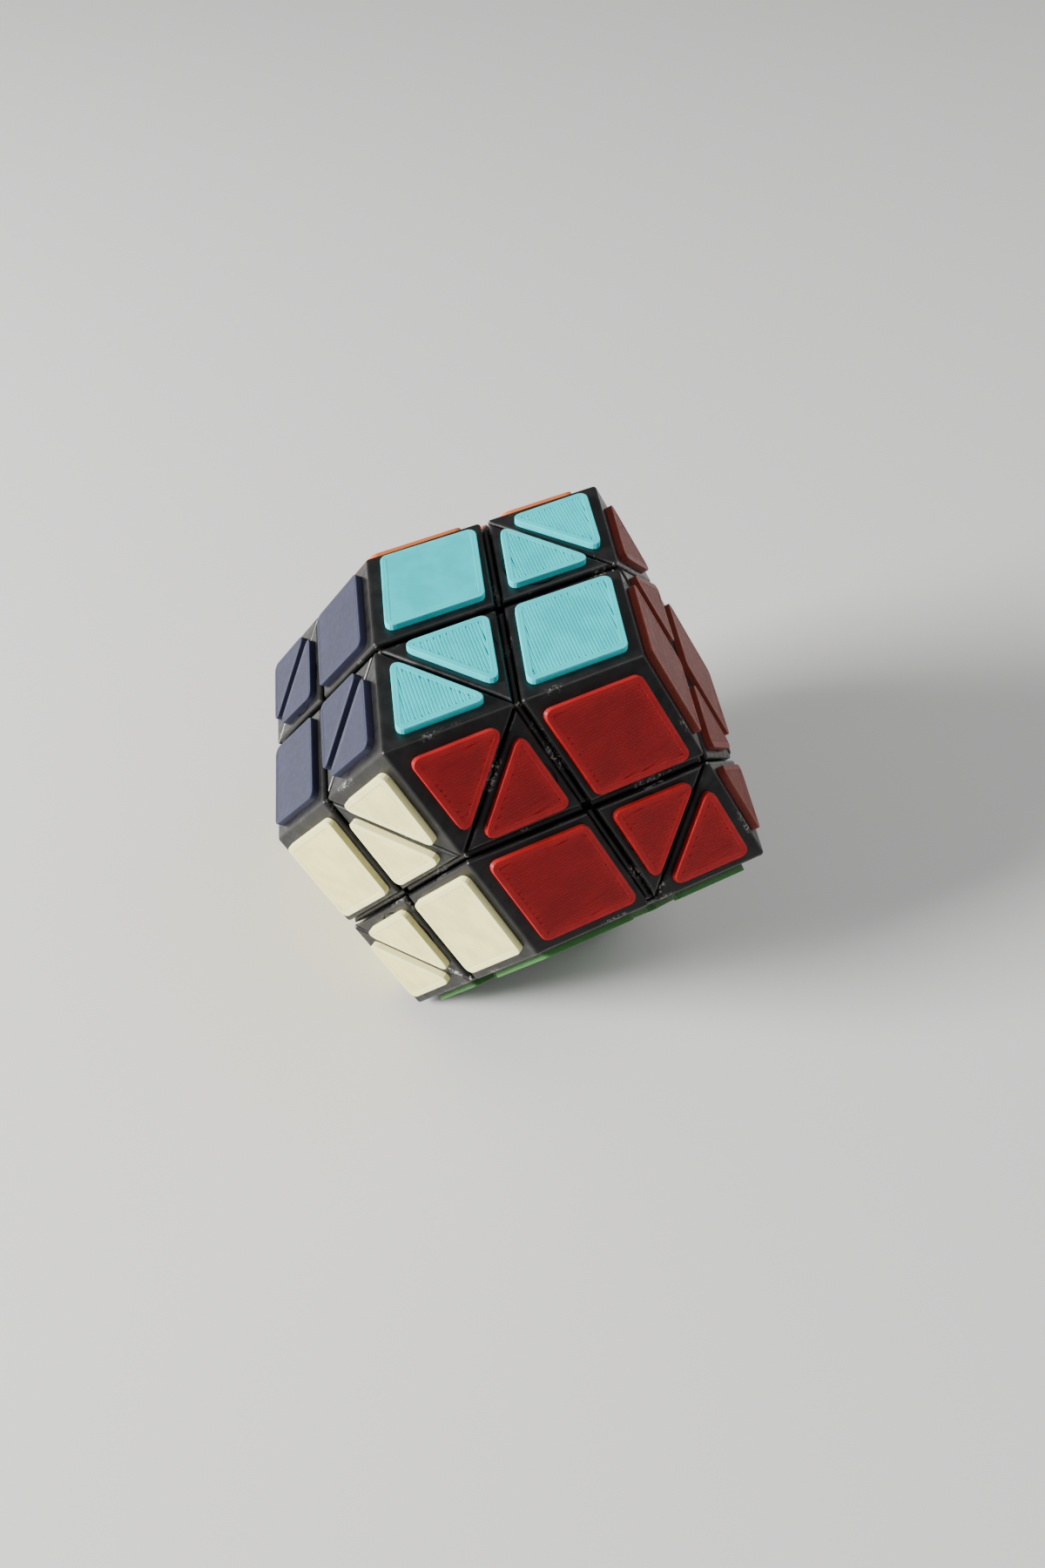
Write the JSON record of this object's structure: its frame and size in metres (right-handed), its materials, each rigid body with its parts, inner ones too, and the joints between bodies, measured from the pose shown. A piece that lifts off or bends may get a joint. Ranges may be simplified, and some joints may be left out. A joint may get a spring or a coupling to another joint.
{
  "type": "twisty puzzle",
  "caption": "Rhombic dodecahedron twisty puzzle of black plastic pieces with coloured printed tiles, whose face layers turn about a hidden core.",
  "frame": {"origin": "centre of the core, where all the turning axes meet; it is also the centre of the bounding box", "axes": "+Z out through the turquoise face, +X out through the cream face, +Y towards the back sharp point, along the longest extent; the puzzle rests on the purple face at -Z"},
  "size_m": [0.0614, 0.0836, 0.0614],
  "materials": {
    "black_plastic": "satin black moulded plastic, scuffed white at worn tips",
    "core_plastic": "natural printed nylon",
    "zinc_steel": "zinc plated",
    "spring_steel": "drawn wire",
    "turquoise_tile": "turquoise 3D-printed plastic with fine print lines",
    "cream_tile": "cream 3D-printed plastic with fine print lines",
    "red_tile": "red 3D-printed plastic with fine print lines",
    "blue_tile": "blue 3D-printed plastic with fine print lines",
    "maroon_tile": "maroon 3D-printed plastic with fine print lines",
    "orange_tile": "orange 3D-printed plastic with fine print lines",
    "yellow_tile": "yellow 3D-printed plastic with fine print lines",
    "green_tile": "green 3D-printed plastic with fine print lines",
    "purple_tile": "purple 3D-printed plastic with fine print lines",
    "lime_tile": "lime 3D-printed plastic with fine print lines",
    "pink_tile": "pink 3D-printed plastic with fine print lines",
    "grey_tile": "grey 3D-printed plastic with fine print lines"
  },
  "bodies": {
    "root": {"axis_pieces_middle": "black_plastic", "axis_screws": "zinc_steel", "blue_tiles_middle": "blue_tile", "core": "core_plastic", "corner_piece_back_left": "black_plastic", "corner_piece_back_right": "black_plastic", "corner_piece_front_left": "black_plastic", "corner_piece_front_right": "black_plastic", "cream_tiles_middle": "cream_tile", "green_tiles_middle": "green_tile", "grey_tiles_middle": "grey_tile", "lime_tiles_middle": "lime_tile", "maroon_tiles_middle": "maroon_tile", "orange_tiles_middle": "orange_tile", "petal_pieces_middle": "black_plastic", "pink_tiles_middle": "pink_tile", "point_piece_back": "black_plastic", "point_piece_front": "black_plastic", "red_tiles_middle": "red_tile", "springs": "spring_steel", "washers": "zinc_steel", "wedge_pieces_middle": "black_plastic", "yellow_tiles_middle": "yellow_tile"},
    "top_layer": {"axis_pieces_top": "black_plastic", "blue_tiles_top": "blue_tile", "corner_piece_top_back": "black_plastic", "corner_piece_top_front": "black_plastic", "cream_tiles_top": "cream_tile", "lime_tiles_top": "lime_tile", "maroon_tiles_top": "maroon_tile", "orange_tiles_top": "orange_tile", "petal_pieces_top": "black_plastic", "point_piece_top_left": "black_plastic", "point_piece_top_right": "black_plastic", "red_tiles_top": "red_tile", "turquoise_tiles_top": "turquoise_tile", "wedge_pieces_top": "black_plastic"},
    "bottom_layer": {"axis_pieces_bottom": "black_plastic", "corner_piece_bottom_back": "black_plastic", "corner_piece_bottom_front": "black_plastic", "cream_tiles_bottom": "cream_tile", "green_tiles_bottom": "green_tile", "grey_tiles_bottom": "grey_tile", "lime_tiles_bottom": "lime_tile", "petal_pieces_bottom": "black_plastic", "pink_tiles_bottom": "pink_tile", "point_piece_bottom_left": "black_plastic", "point_piece_bottom_right": "black_plastic", "purple_tiles_bottom": "purple_tile", "wedge_pieces_bottom": "black_plastic", "yellow_tiles_bottom": "yellow_tile"}
  },
  "joints": [
    {"name": "top_layer_turn", "type": "hinge", "parent": "root", "child": "top_layer", "pos_m": [0, 0, 0], "axis": [0, 0, 1], "continuous": true},
    {"name": "bottom_layer_turn", "type": "hinge", "parent": "root", "child": "bottom_layer", "pos_m": [0, 0, 0], "axis": [0, 0, -1], "continuous": true}
  ]
}
